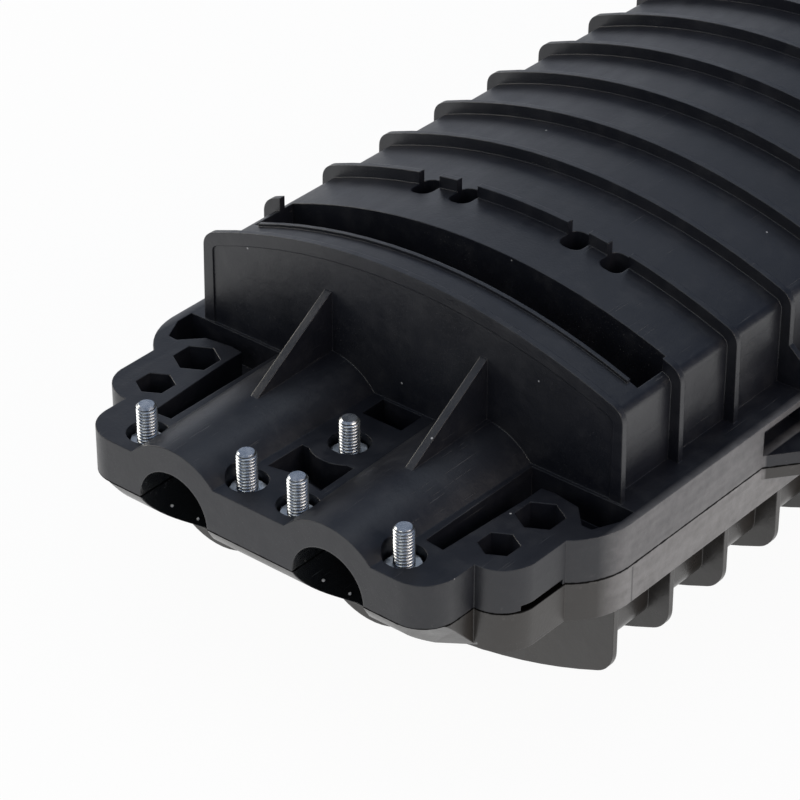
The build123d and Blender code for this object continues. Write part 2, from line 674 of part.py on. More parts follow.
def save(name, shapes):
    """Raises the shapes to stand on Z = 0 and writes them as one node."""
    if isinstance(shapes, list):
        shape = Compound(children=[Pos(0, 0, REST) * each for each in shapes])
    else:
        shape = Pos(0, 0, REST) * shapes
    export_step(shape, "parts/" + name + ".step")


os.makedirs("parts", exist_ok=True)

save("upper_shell", upper_shell())
save("lower_shell", lower_shell())

seal = seal_solid(SEAL_WIDE, -SEAL_DOWN, SEAL_UP)
save("seal_left", seal)
save("seal_right", mirror(seal, Plane.XZ))
save("end_seals", ends([end_seal(SEAL_WIDE, -SEAL_DOWN, SEAL_UP)]))

save("end_studs", end_studs())
save("end_nuts", [nut(x, y, NUT_WELL_FLOOR) for x, y, tip in stud_spots()])
save("side_bolts", side_bolts())
save("side_nuts", [nut(x, y, EAR_UP) for x, y in ear_spots()])

save("support_frame", frame())
save("frame_screws", corners(pan_screw(BOSS_X, BOSS_Y, FRAME_TOP, M5_R, M5_HEAD_R, M5_HEAD, M5_LONG)))
save("cable_saddles", corners(saddle()))
save("cable_straps", corners(strap()))
save("strap_screws", [each for screw in strap_screws() for each in corners(screw)])
save("core_clamps", corners(core_clamp()))
save("core_screws", corners(core_screw()))

save("tray_stand", stand())
save("stand_screws", stand_screws())
save("hinge_pins", hinge_pins())
save("tray_rests", tray_rests())
for number in range(TRAYS):
    save("splice_tray_" + str(number + 1), tray(number))
    save("splice_holder_" + str(number + 1), splice_holder(number))
save("tray_lid", tray_lid())
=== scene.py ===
# %% [markdown]
# # Outdoor fibre splice box
# The box is two black moulded shells that close on a rubber seal, with bare zinc studs at each end.
# The solids already have the true shape and size. This file gives them what a designer's solids
# leave out: soft edges, the finish of moulded plastic and plated steel, threads, turned nuts, and
# the small marks that the photo shows.

# %% Bring in the solids
import json
import math
import random
import bmesh
import bpy
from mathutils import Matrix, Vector


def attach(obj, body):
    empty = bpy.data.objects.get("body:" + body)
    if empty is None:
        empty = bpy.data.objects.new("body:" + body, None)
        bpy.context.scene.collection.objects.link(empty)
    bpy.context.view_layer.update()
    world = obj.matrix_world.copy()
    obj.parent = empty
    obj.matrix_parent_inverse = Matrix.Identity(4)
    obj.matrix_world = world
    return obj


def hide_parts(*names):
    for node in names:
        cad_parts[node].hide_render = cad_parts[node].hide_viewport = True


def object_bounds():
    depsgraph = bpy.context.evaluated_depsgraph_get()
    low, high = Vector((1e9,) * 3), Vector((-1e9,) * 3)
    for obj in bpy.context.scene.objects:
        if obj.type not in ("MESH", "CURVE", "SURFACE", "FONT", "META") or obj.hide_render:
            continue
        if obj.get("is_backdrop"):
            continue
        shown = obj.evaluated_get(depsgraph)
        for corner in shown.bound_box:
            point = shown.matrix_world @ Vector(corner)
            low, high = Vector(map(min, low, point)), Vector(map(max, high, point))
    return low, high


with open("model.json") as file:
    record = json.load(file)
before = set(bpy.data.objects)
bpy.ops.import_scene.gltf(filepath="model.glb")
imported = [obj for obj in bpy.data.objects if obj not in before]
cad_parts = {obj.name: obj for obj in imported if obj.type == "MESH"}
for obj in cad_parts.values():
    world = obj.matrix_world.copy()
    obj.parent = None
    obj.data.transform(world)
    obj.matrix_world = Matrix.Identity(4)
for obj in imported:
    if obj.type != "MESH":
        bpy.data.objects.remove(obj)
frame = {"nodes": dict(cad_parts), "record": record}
cad_low, cad_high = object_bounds()
MM = 0.001

# Places on the box in millimetres, from its middle and from the joint
PARTING = 57.0
PORT_Y = 27.8
BORE_R = 12.55
FLANGE_SIDE = 82.8
BODY_END = 144.0

# %% [markdown]
# ## Writing node trees as sums
# A finish is a lot of small sums on noise. Wired by hand they are hard to read, so a Wire stands
# for one socket, and +, -, * and / on it put the Math node down. Every other node goes down
# through one method, which takes its type, its settings and what its sockets get.

# %% Wires and benches
class Wire:
    """One output socket that can be used in sums."""

    def __init__(self, bench, socket):
        self.bench = bench
        self.socket = socket

    def maths(self, operation, *values):
        return self.bench.add("ShaderNodeMath", {"operation": operation}, dict(enumerate(values)))

    def __add__(self, other):
        return self.maths("ADD", self, other)

    def __radd__(self, other):
        return self.maths("ADD", other, self)

    def __sub__(self, other):
        return self.maths("SUBTRACT", self, other)

    def __rsub__(self, other):
        return self.maths("SUBTRACT", other, self)

    def __mul__(self, other):
        return self.maths("MULTIPLY", self, other)

    def __rmul__(self, other):
        return self.maths("MULTIPLY", other, self)

    def __truediv__(self, other):
        return self.maths("DIVIDE", self, other)

    def __rtruediv__(self, other):
        return self.maths("DIVIDE", other, self)

    def __abs__(self):
        return self.maths("ABSOLUTE", self)

    def above(self, other):
        return self.maths("GREATER_THAN", self, other)

    def least(self, other):
        return self.maths("MINIMUM", self, other)

    def most(self, other):
        return self.maths("MAXIMUM", self, other)

    def part(self):
        return self.maths("FRACT", self)

    def fade(self, low, high):
        """0 at low, 1 at high and straight between them. low may be the larger one."""
        return self.bench.add("ShaderNodeMapRange", {}, {0: self, 1: low, 2: high})


class Bench:
    """A node tree with one way to put a node on it."""

    def __init__(self, tree):
        self.tree = tree

    def add(self, kind, settings=None, sockets=None, out=0):
        node = self.tree.nodes.new(kind)
        for key, value in (settings or {}).items():
            setattr(node, key, value)
        for key, value in (sockets or {}).items():
            for each in value if isinstance(value, list) else [value]:
                if isinstance(each, Wire):
                    self.tree.links.new(each.socket, node.inputs[key])
                else:
                    node.inputs[key].default_value = each
        return Wire(self, node.outputs[out]) if node.outputs else node

    def blend(self, amount, first, second):
        """Goes from the first colour to the second."""
        return self.add("ShaderNodeMix", {"data_type": "RGBA"}, {0: amount, 6: first, 7: second}, 2)


print("benches ready")

# %% [markdown]
# ## Noise in millimetres
# All patterns read Object coordinates, so they sit in the plastic and don't slide. The scene is in
# metres, so a helper turns the size of a pattern in millimetres into a noise scale. Different
# sizes along and across turn clouds into scratches.

# %% Noise helpers
def grey(shade, alpha=1.0):
    """A colour from one number or three."""
    if isinstance(shade, (int, float)):
        shade = (shade, shade, shade)
    return (*shade, alpha)


class Finish(Bench):
    """A material's node tree, with noise by size."""

    def __init__(self, name):
        self.material = bpy.data.materials.new(name + "_finish")
        self.material.use_nodes = True
        super().__init__(self.material.node_tree)
        self.tree.nodes.clear()
        self.place = self.add("ShaderNodeTexCoord", {}, {}, "Object")

    def axis(self, number):
        return self.add("ShaderNodeSeparateXYZ", {}, {0: self.place}, number)

    def clouds(self, size, detail=2.0, roughness=0.5):
        """Soft noise whose patches are about as wide as size, in millimetres."""
        sockets = {"Vector": self.place, "Scale": 1 / (size * MM)}
        sockets.update({"Detail": detail, "Roughness": roughness})
        return self.add("ShaderNodeTexNoise", {}, sockets)

    def streaks(self, long, thin, turn):
        """Noise drawn out into streaks, long and thin in millimetres, turned by three angles."""
        stretch = (1 / (long * MM), 1 / (thin * MM), 1 / (thin * MM))
        placing = {"Vector": self.place, "Rotation": turn, "Scale": stretch}
        turned = self.add("ShaderNodeMapping", {}, placing)
        return self.add("ShaderNodeTexNoise", {}, {"Vector": turned, "Scale": 1.0, "Detail": 1.0})

    def specks(self, size, few):
        """Round specks, one in each cell of the given size, most of them left out."""
        cell = {"Vector": self.place, "Scale": 1 / (size * MM)}
        near = self.add("ShaderNodeTexVoronoi", {}, cell, "Distance")
        chance = self.add("ShaderNodeTexVoronoi", {}, cell, "Color")
        chosen = self.add("ShaderNodeSeparateColor", {}, {0: chance}, 0).above(1 - few)
        return near, chosen

    def soft_edges(self, radius):
        """The surface's direction with its sharp edges rounded off."""
        return self.add("ShaderNodeBevel", {"samples": 6}, {"Radius": radius * MM})

    def bump(self, height, deep, edges=None):
        """Turns a height, drawn in sizes of deep millimetres, into a surface direction."""
        sockets = {"Height": height, "Distance": deep * MM, "Strength": 1.0}
        if edges is not None:
            sockets["Normal"] = edges
        return self.add("ShaderNodeBump", {}, sockets)

    def close(self, shadow=None, **sockets):
        """Ends the tree in the Principled shader, black where shadow is 1, and gives the material."""
        named = {key.replace("_", " "): value for key, value in sockets.items()}
        shader = self.add("ShaderNodeBsdfPrincipled", {}, named)
        if shadow is not None:
            black = self.add("ShaderNodeBsdfDiffuse", {}, {"Color": grey(0.001)})
            shader = self.add("ShaderNodeMixShader", {}, {0: shadow, 1: shader, 2: black})
        self.add("ShaderNodeOutputMaterial", {}, {"Surface": shader})
        return self.material


print("finishes ready")

# %% [markdown]
# ## Black moulded plastic
# The shells are nearly black, with a soft satin gloss that turns blue-grey where it mirrors the
# light. What makes it real is small: clouds in the gloss, fine grain, hairline scratches, specks
# of dust, a dark joint line with pale scuffs, and polished port bores. The long flange sides are
# greyed with a painted highlight, a lamp's glare along them, mottled. The edges are rounded in the
# shader, because a bevel on so many crossing ribs would cost triangles and leave creases.

# %% Plastic of the shells
BORE_FADE = (12.8, 12.56)
GLARE_FROM = 80.0
GLARE_OFF = (83.6, 83.2)
BURR_OUT = 98
STEP_OUT = 147.8


def shell_plastic(name, dark, pale, gloss, glint, glare):
    """dark and pale tint the clouds, glint is the refractive index, glare greys the flange sides as a
    painted highlight.
    """
    f = Finish(name)
    broad = f.clouds(38, 3.0)
    blotch = f.clouds(7, 4.0, 0.65)
    fine = f.clouds(0.9, 2.0)
    flow = f.streaks(60, 5, (0.3, 0.2, 0.9))
    hair = f.streaks(26, 0.35, (0.2, 0.5, 1.1)).fade(0.70, 0.76) * f.clouds(22).fade(0.52, 0.62)
    hair2 = f.streaks(18, 0.3, (0.9, 0.1, -0.6)).fade(0.71, 0.77) * f.clouds(17).fade(0.55, 0.65)
    near, chosen = f.specks(11, 0.22)
    dust = near.fade(0.035, 0.02) * chosen

    # The joint: a ragged black line with pale scuffs beside it
    height = abs(f.axis(2) - PARTING * MM)
    ragged = (f.clouds(2.5, 3.0, 0.7) - 0.5) * 0.6 * MM
    seam = (height + ragged).fade(0.42 * MM, 0.2 * MM) * f.clouds(30).fade(0.26, 0.36)
    scuff = height.fade(2.6 * MM, 0.3 * MM) * f.clouds(2.2, 4.0, 0.7).fade(0.58, 0.68)

    # The bores of the ports are polished by the mould's cores
    across = abs(f.axis(1)) - PORT_Y * MM
    up = f.axis(2) - PARTING * MM
    bore = (across * across + up * up).fade((BORE_FADE[0] * MM) ** 2, (BORE_FADE[1] * MM) ** 2)

    # The long sides of the flange: a mottled painted highlight of lamp glare, with a faint burr
    # beside the ears and a mould step
    out = abs(f.axis(1))
    long_side = out.fade(GLARE_FROM * MM, FLANGE_SIDE * MM) * out.fade(GLARE_OFF[0] * MM, GLARE_OFF[1] * MM)
    glare_mottle = f.streaks(12, 2.2, (0.0, 0.0, 0.0)).fade(0.30, 0.70) * 0.4
    glare_mottle = glare_mottle + f.clouds(3.5, 4.0, 0.65).fade(0.3, 0.7) * 0.6
    painted_glare = long_side * (0.45 + glare_mottle * 0.55)
    along = abs(f.axis(0))
    burr = abs(along - BURR_OUT * MM).fade(9 * MM, 2 * MM) * height.fade(1.5 * MM, 0.4 * MM)
    burr = burr * f.clouds(3.2, 2.0, 0.5).fade(0.40, 0.62) * long_side
    step = abs(along - STEP_OUT * MM).fade(0.45 * MM, 0.2 * MM) * (0 - up).above(0.8 * MM) * long_side

    colour = f.blend(broad.fade(0.3, 0.7), grey(dark), grey(pale))
    colour = f.blend(blotch.fade(0.5, 0.8) * 0.12, colour, grey((0.10, 0.10, 0.105)))
    colour = f.blend(bore, colour, grey((0.016, 0.018, 0.020)))
    # Painted highlight: lamp glare on the long flange sides, painted in as pale grey
    colour = f.blend(painted_glare * glare, colour, grey((0.34, 0.335, 0.34)))
    colour = f.blend((hair + hair2) * 0.20, colour, grey((0.16, 0.165, 0.18)))
    colour = f.blend(scuff * 0.30, colour, grey((0.20, 0.19, 0.18)))
    colour = f.blend(burr * 0.45, colour, grey((0.38, 0.375, 0.37)))
    colour = f.blend(step * 0.7, colour, grey(0.012))
    colour = f.blend(dust * 0.8, colour, grey((0.55, 0.55, 0.56)))
    rough = gloss + (broad - 0.5) * 0.16 + (blotch - 0.5) * 0.16
    rough = rough + (flow - 0.5) * 0.10 + (fine - 0.5) * 0.08
    rough = rough + scuff * 0.15 - bore * 0.20
    relief = fine * 0.035 + broad * 0.5 + flow * 0.1 + blotch * 0.06
    relief = relief - (hair + hair2) * 0.05 + burr * 0.1
    normal = f.bump(relief, 1.0, f.soft_edges(0.45))
    return f.close(seam * 0.92, Base_Color=colour, Roughness=rough, Normal=normal, IOR=glint)


BLUE_BLACK = ((0.0055, 0.0064, 0.0105), (0.0085, 0.0098, 0.0155))
WARM_BLACK = ((0.0150, 0.0125, 0.0105), (0.0240, 0.0205, 0.0175))
# The last number sets how strongly the painted glare greys the flange sides
UPPER = shell_plastic("upper_plastic", *BLUE_BLACK, 0.38, 1.58, 0.50)
LOWER = shell_plastic("lower_plastic", *WARM_BLACK, 0.33, 1.66, 0.66)
print("shell plastics:", UPPER.name, LOWER.name)

# %% [markdown]
# ## Rubber, zinc, sheet, brass
# Rubber is the dullest thing on the box. Bright zinc plating is bluish and a little cloudy. The
# roots of a thread get painted shade in the colour: the stud's mesh carries how deep each point lies as
# "root".
# Galvanised sheet has its crystals, which Voronoi cells draw well: each cell is one crystal with
# its own gloss. Brass is turned, so it carries rings.

# %% Rubber and metals
def rubber():
    f = Finish("seal_rubber")
    crumb = f.clouds(0.7, 3.0)
    dust = f.clouds(9, 4.0, 0.7).fade(0.55, 0.8)
    colour = f.blend(dust * 0.25, grey(0.009), grey((0.05, 0.048, 0.045)))
    return f.close(Base_Color=colour, Roughness=0.72 + (crumb - 0.5) * 0.2, Normal=f.bump(crumb, 0.12))


def zinc(name, rough):
    f = Finish(name)
    cloudy = f.clouds(2.6, 3.0)
    fine = f.clouds(0.35, 2.0)
    root = f.add("ShaderNodeAttribute", {"attribute_name": "root"}, {}, "Fac").fade(0.35, 0.80)
    colour = f.blend(cloudy.fade(0.3, 0.7), grey((0.64, 0.68, 0.72)), grey((0.86, 0.88, 0.90)))
    # Painted shade: the thread roots are darkened in the colour
    colour = f.blend(root * 0.9, colour, grey((0.035, 0.040, 0.048)))
    rough = rough + cloudy * 0.14 + root * 0.2
    return f.close(Base_Color=colour, Metallic=1.0, Roughness=rough, Normal=f.bump(fine, 0.004))


def sheet():
    f = Finish("sheet_steel")
    cell = {"Vector": f.place, "Scale": 1 / (7 * MM)}
    tint = f.add("ShaderNodeTexVoronoi", {}, cell, "Color")
    crystal = f.add("ShaderNodeSeparateColor", {}, {0: tint}, 0)
    brushed = f.streaks(30, 0.25, (0.0, 0.0, 0.0))
    colour = f.blend(crystal, grey((0.50, 0.52, 0.54)), grey((0.66, 0.68, 0.70)))
    rough = 0.30 + crystal * 0.16 + (brushed - 0.5) * 0.1
    normal = f.bump(brushed, 0.02, f.soft_edges(0.2))
    return f.close(Base_Color=colour, Metallic=1.0, Roughness=rough, Normal=normal)


def turned_brass():
    f = Finish("brass")
    rings = f.streaks(14, 0.3, (0.0, 0.0, 1.57))
    patina = f.clouds(4, 3.0)
    colour = f.blend(patina, grey((0.62, 0.45, 0.18)), grey((0.83, 0.66, 0.32)))
    normal = f.bump(rings, 0.02, f.soft_edges(0.2))
    return f.close(Base_Color=colour, Metallic=1.0, Roughness=0.26 + patina * 0.12, Normal=normal)


RUBBER = rubber()
ZINC = zinc("zinc_steel", 0.20)
DULL_ZINC = zinc("dull_zinc", 0.42)
SHEET = sheet()
BRASS = turned_brass()
print("rubber and metals:", RUBBER.name, ZINC.name, SHEET.name, BRASS.name)

# %% [markdown]
# ## Plastics inside the box
# The trays are light grey, the splice combs whiter and softer, and the lid is clear. A clear lid
# is a little see-through all over, with a few fine scratches that catch the light.

# %% Tray, comb and lid plastics
def pale_plastic(name, dark, pale, gloss):
    f = Finish(name)
    broad = f.clouds(30, 3.0)
    fine = f.clouds(0.6, 2.0)
    handled = f.clouds(12, 4.0, 0.65).fade(0.6, 0.85)
    colour = f.blend(broad, grey(dark), grey(pale))
    colour = f.blend(handled * 0.3, colour, grey((0.45, 0.44, 0.42)))
    rough = gloss + (broad - 0.5) * 0.12 + handled * 0.12
    return f.close(Base_Color=colour, Roughness=rough, Normal=f.bump(fine, 0.03, f.soft_edges(0.3)))


def clear_plastic():
    f = Finish("lid_plastic")
    hair = f.streaks(24, 0.3, (0.0, 0.0, 0.8)).fade(0.68, 0.76)
    hair = hair + f.streaks(30, 0.3, (0.0, 0.0, -0.5)).fade(0.69, 0.77)
    broad = f.clouds(40, 2.0)
    colour = f.blend(broad, grey((0.78, 0.84, 0.87)), grey((0.88, 0.91, 0.92)))
    rough = 0.10 + hair * 0.22 + broad * 0.06
    see = 0.24 + hair * 0.08
    return f.close(Base_Color=colour, Roughness=rough, Alpha=see, Normal=f.bump(broad, 0.15))


TRAY = pale_plastic("tray_plastic", (0.60, 0.61, 0.60), (0.70, 0.71, 0.70), 0.42)
COMB = pale_plastic("holder_plastic", (0.76, 0.76, 0.73), (0.84, 0.84, 0.82), 0.5)
LID = clear_plastic()
print("inner plastics:", TRAY.name, COMB.name, LID.name)

# %% [markdown]
# ## Dressing the solids
# The solids come in as loose flat triangles, which would show as facets on the humps. So each
# is copied, its points are welded, and every edge that turns by less than 32 degrees is shaded
# smooth. The copy stands for the solid and rides on the same body.

# %% Smooth copies of the solids
FINISHES = {
    "upper_shell": UPPER,
    "lower_shell": LOWER,
    "seal_left": RUBBER,
    "seal_right": RUBBER,
    "end_seals": RUBBER,
    "tray_rests": RUBBER,
    "support_frame": SHEET,
    "cable_straps": SHEET,
    "tray_stand": SHEET,
    "cable_saddles": LOWER,
    "core_clamps": BRASS,
    "hinge_pins": ZINC,
    "splice_tray_1": TRAY,
    "splice_tray_2": TRAY,
    "splice_tray_3": TRAY,
    "splice_holder_1": COMB,
    "splice_holder_2": COMB,
    "splice_holder_3": COMB,
    "tray_lid": LID,
}
BODY_OF = {}
for body, nodes in frame["record"]["behaviour"]["bodies"].items():
    for node in nodes:
        BODY_OF[node] = body


def put_in_scene(name, mesh, body, node=None, finish=None):
    """Makes an object of a finished mesh and lets it ride on its body."""
    piece = bpy.data.objects.new(name, mesh)
    bpy.context.collection.objects.link(piece)
    if finish is not None:
        mesh.materials.clear()
        mesh.materials.append(finish)
    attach(piece, body)
    if node is not None:
        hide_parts(node)
    return piece


def smooth_copy(mesh, name, closeness, limit):
    """Copies a mesh with its doubled points joined, and smooth shading up to a limit angle."""
    work = bmesh.new()
    work.from_mesh(mesh)
    bmesh.ops.remove_doubles(work, verts=work.verts, dist=closeness)
    points = [point.co.copy() for point in work.verts]
    faces = [[point.index for point in face.verts] for face in work.faces]
    work.free()
    copy = bpy.data.meshes.new(name)
    copy.from_pydata(points, [], faces)
    for face in copy.polygons:
        face.use_smooth = True
    copy.set_sharp_from_angle(angle=limit)
    return copy


for node, finish in FINISHES.items():
    skin = smooth_copy(frame["nodes"][node].data, node + "_skin", 0.002 * MM, math.radians(32))
    put_in_scene(node + "_skin", skin, BODY_OF[node], node, finish)
print("dressed:", len(FINISHES))

# %% [markdown]
# ## Fasteners from a wrapped grid
# A stud, a nut and a screw are all a strip of rows wrapped round an axis. So one Geometry Nodes
# tree serves them all: a grid gives the rows, a formula gives each point's radius and height, and
# the seam and poles are welded. The result is placed on every spot. The spots carry their own
# turn, so no two nuts stand alike.

# %% The tree that wraps a grid
def fastener_tree(name, around, rows, sizes, shape, cutter=None):
    """Builds a tree: shape(bench, turn, row, size) gives each point's radius, height and, for a
    thread, how near it is to the root."""
    tree = bpy.data.node_groups.new(name, "GeometryNodeTree")
    tree.interface.new_socket("Spots", in_out="INPUT", socket_type="NodeSocketGeometry")
    for label, value in sizes.items():
        socket = tree.interface.new_socket(label, in_out="INPUT", socket_type="NodeSocketFloat")
        socket.default_value = value * MM
    tree.interface.new_socket("Finish", in_out="INPUT", socket_type="NodeSocketMaterial")
    tree.interface.new_socket("Pieces", in_out="OUTPUT", socket_type="NodeSocketGeometry")
    bench = Bench(tree)
    size = {label: bench.add("NodeGroupInput", {}, {}, label) for label in ["Spots", *sizes, "Finish"]}
    grid = bench.add("GeometryNodeMeshGrid", {}, {0: 1.0, 1: 1.0, 2: around + 1, 3: rows})
    spot = bench.add("GeometryNodeInputPosition")
    turn = bench.add("ShaderNodeSeparateXYZ", {}, {0: spot}, 0) + 0.5
    row = (bench.add("ShaderNodeSeparateXYZ", {}, {0: spot}, 1) + 0.5) * (rows - 1)
    radius, height, *root = shape(bench, turn, row, size)
    if root:
        kind = {"data_type": "FLOAT", "domain": "POINT"}
        stored = {"Geometry": grid, "Name": "root", "Value": root[0]}
        grid = bench.add("GeometryNodeStoreNamedAttribute", kind, stored)
    angle = turn * (2 * math.pi)
    east = radius * angle.maths("COSINE", angle)
    north = radius * angle.maths("SINE", angle)
    point = bench.add("ShaderNodeCombineXYZ", {}, {0: east, 1: north, 2: height})
    wrapped = bench.add("GeometryNodeSetPosition", {}, {"Geometry": grid, "Position": point})
    solid = bench.add("GeometryNodeMergeByDistance", {}, {"Geometry": wrapped, "Distance": 0.004 * MM})
    if cutter is not None:
        solid = cutter(bench, solid, size)
    vector = {"data_type": "FLOAT_VECTOR"}
    own_turn = bench.add("GeometryNodeInputNamedAttribute", vector, {"Name": "turn"})
    placed = bench.add("GeometryNodeInstanceOnPoints", {},
                       {"Points": size["Spots"], "Instance": solid, "Rotation": own_turn})
    real = bench.add("GeometryNodeRealizeInstances", {}, {"Geometry": placed})
    done = bench.add("GeometryNodeSetMaterial", {}, {"Geometry": real, "Material": size["Finish"]})
    bench.add("NodeGroupOutput", {}, {"Pieces": done})
    return tree


def spots_mesh(name, spots):
    """Points with a turn each: (x, y, z in millimetres from the middle at the joint, turn)."""
    mesh = bpy.data.meshes.new(name)
    mesh.from_pydata([Vector((x, y, z + PARTING)) * MM for x, y, z, turn in spots], [], [])
    turns = mesh.attributes.new("turn", "FLOAT_VECTOR", "POINT")
    for number, (x, y, z, turn) in enumerate(spots):
        turns.data[number].vector = turn
    return mesh


def grow(name, tree, spots, values, finish, smooth=32):
    """Runs a tree on its spots and gives the plain mesh."""
    holder = bpy.data.objects.new(name + "_spots", spots_mesh(name + "_spots", spots))
    bpy.context.collection.objects.link(holder)
    modifier = holder.modifiers.new(name, "NODES")
    modifier.node_group = tree
    for item in tree.interface.items_tree:
        if item.in_out == "INPUT" and item.name in values:
            modifier[item.identifier] = values[item.name] * MM
        if item.in_out == "INPUT" and item.name == "Finish":
            modifier[item.identifier] = finish
    grown = holder.evaluated_get(bpy.context.evaluated_depsgraph_get())
    mesh = bpy.data.meshes.new_from_object(grown)
    mesh.name = name
    holder.modifiers.clear()
    bpy.data.objects.remove(holder)
    for face in mesh.polygons:
        face.use_smooth = True
    mesh.set_sharp_from_angle(angle=math.radians(smooth))
    for attribute in [each for each in mesh.attributes if each.name == "turn"]:
        mesh.attributes.remove(attribute)
    return mesh


print("fastener tree ready")

# %% [markdown]
# ## Threads
# The grid's rows climb by one pitch as they go round, so each row is a helix and holds one place of
# the tooth: crest, flank or root. The tooth is a zigzag over eight rows with its points blunted.
# Row k meets row k + 8 at the seam, where the weld joins them. A cone at the tip takes the
# thread off: that is the chamfer. The foot below the thread is plain.

# %% Threaded studs
STEPS = 8


def thread_shape(rows):
    def shape(bench, turn, row, size):
        climb = (row - 2 - STEPS) / STEPS + turn
        on_thread = row.above(1.5)
        height = (size["Foot"] + climb * size["Pitch"]).most(size["Foot"])
        height = height.least(size["Length"]) * on_thread
        tooth = abs((row / STEPS).part() * 2 - 1).fade(0.14, 0.86)
        tooth = tooth.most(1 - height.above(size["Foot"] + 0.01 * MM))
        radius = size["Radius"] - size["Depth"] * (1 - tooth)
        tip = size["Radius"] - size["Chamfer"] + (size["Length"] - height)
        inside = row.above(0.5) * (1 - row.above(rows - 1.5))
        root = (1 - tooth) * tip.above(size["Radius"] - size["Depth"])
        return radius.least(tip) * inside, height, root
    return shape


STUD_LONG = 27.8
STUD_SIZES = {
    "Radius": 3.0,
    "Foot": 4.6,
    "Length": STUD_LONG,
    "Pitch": 1.0,
    "Depth": 0.6,
    "Chamfer": 0.8,
}
STUD_ROWS = 200
STUD = fastener_tree("threaded_stud", 32, STUD_ROWS, STUD_SIZES, thread_shape(STUD_ROWS))

ROW_OUT = 55.1
ROW_Y = (9.1, 46.0)
ROW_TOP = 23.2
MID_OUT = 23.3
MID_TOP = 21.9
dice = random.Random(7)


def any_turn():
    return (0.0, 0.0, dice.uniform(0.0, 2 * math.pi))


def end_spots(height, mid_height):
    """Every stud's place at both ends."""
    spots = []
    for end in (-1, 1):
        for y in (ROW_Y[0], -ROW_Y[0], ROW_Y[1], -ROW_Y[1]):
            spots.append((end * (BODY_END + ROW_OUT), y, height, any_turn()))
        spots.append((end * (BODY_END + MID_OUT), 0.0, mid_height, any_turn()))
    return spots


stud_spots = end_spots(ROW_TOP - STUD_LONG, MID_TOP - STUD_LONG)
studs = grow("stud_threads", STUD, stud_spots, STUD_SIZES, ZINC)
put_in_scene("stud_threads", studs, "base", "end_studs", ZINC)
print("studs:", len(studs.polygons), "faces")

# %% [markdown]
# ## Nuts and bolt heads
# A nut is a hexagon bar whose ends are turned: a shallow cone takes the corners off. In a formula
# the radius is the smaller of the hexagon's and the cones'. The last row goes back down the bore
# to the first one, so the nut is closed like a ring.

# %% Nuts
def hexagon_radius(turn, flats):
    """The distance from the middle to a hexagon's side at each turn."""
    within = (turn * 6).part() - 0.5
    angle = within * (math.pi / 3)
    return flats / 2 / angle.maths("COSINE", angle)


def nut_shape(rows):
    def shape(bench, turn, row, size):
        up = ((row - 1) / (rows - 4)).most(0.0).least(1.0)
        height = up * size["Tall"] * (1 - row.above(rows - 1.5))
        face = size["Flats"] / 2 * 0.96
        cone = height.least(size["Tall"] - height) * 1.75 + face
        outside = hexagon_radius(turn, size["Flats"]).least(cone)
        on_side = row.above(0.5) * (1 - row.above(rows - 2.5))
        return outside * on_side + size["Bore"] * (1 - on_side), height
    return shape


NUT_ROWS = 22
NUT_SIZES = {"Flats": 10.0, "Tall": 5.2, "Bore": 3.02}
NUT_WELL_FLOOR = 6.2
NUT = fastener_tree("turned_nut", 72, NUT_ROWS, NUT_SIZES, nut_shape(NUT_ROWS))
nuts = grow("end_nut_set", NUT, end_spots(NUT_WELL_FLOOR, NUT_WELL_FLOOR), NUT_SIZES, ZINC)
put_in_scene("end_nut_set", nuts, "cover", "end_nuts", DULL_ZINC)

EAR_X = 52.0
EAR_Y = 89.3
EAR_UP = 4.0
EAR_LOW = 3.8
EARS = [(x, y) for x in (-EAR_X, EAR_X) for y in (-EAR_Y, EAR_Y)]


def ear_spots(height):
    return [(x, y, height, any_turn()) for x, y in EARS]


side_nuts = grow("side_nut_set", NUT, ear_spots(EAR_UP), NUT_SIZES, ZINC)
put_in_scene("side_nut_set", side_nuts, "cover", "side_nuts", DULL_ZINC)
print("nuts:", len(nuts.polygons) + len(side_nuts.polygons), "faces")

# %% Side bolts
def head_shape(rows):
    def shape(bench, turn, row, size):
        up = ((row - 1) / (rows - 3)).most(0.0).least(1.0)
        height = up * size["Tall"]
        cone = height * 1.75 + size["Flats"] / 2 * 0.96
        outside = hexagon_radius(turn, size["Flats"]).least(cone)
        inside = row.above(0.5) * (1 - row.above(rows - 1.5))
        return outside * inside, height
    return shape


HEAD_ROWS = 14
HEAD_SIZES = {"Flats": 10.0, "Tall": 4.0}
HEAD = fastener_tree("bolt_head", 72, HEAD_ROWS, HEAD_SIZES, head_shape(HEAD_ROWS))
HEAD_FOOT = -7.8
heads = grow("side_bolt_heads", HEAD, ear_spots(HEAD_FOOT), HEAD_SIZES, ZINC)
shank_sizes = {**STUD_SIZES, "Length": 20.0}
shanks = grow("side_bolt_threads", STUD, ear_spots(-EAR_LOW), shank_sizes, ZINC)
put_in_scene("side_bolt_heads", heads, "base", "side_bolts", ZINC)
put_in_scene("side_bolt_threads", shanks, "base", "side_bolts", ZINC)
print("side bolts:", len(heads.polygons) + len(shanks.polygons), "faces")

# %% [markdown]
# ## Pan-head screws
# The screws inside the box have low domed heads with a cross. The dome is a quarter of an ellipse
# in the wrapped grid, and two small bars cut the cross with a boolean inside the same tree.

# %% Screws
def pan_shape(rows):
    def shape(bench, turn, row, size):
        arc = ((row - 3) / (rows - 4)).most(0.0).least(1.0) * (math.pi / 2)
        dome_height = size["Head"] * arc.maths("POWER", arc.maths("SINE", arc), 0.7)
        dome_radius = size["Head radius"] * arc.maths("POWER", arc.maths("COSINE", arc), 0.5)
        on_head = row.above(2.5)
        on_shank = row.above(0.5) * (1 - on_head)
        deep = (1 - row.above(1.5)) * size["Long"]
        return dome_radius * on_head + size["Radius"] * on_shank, dome_height * on_head - deep
    return shape


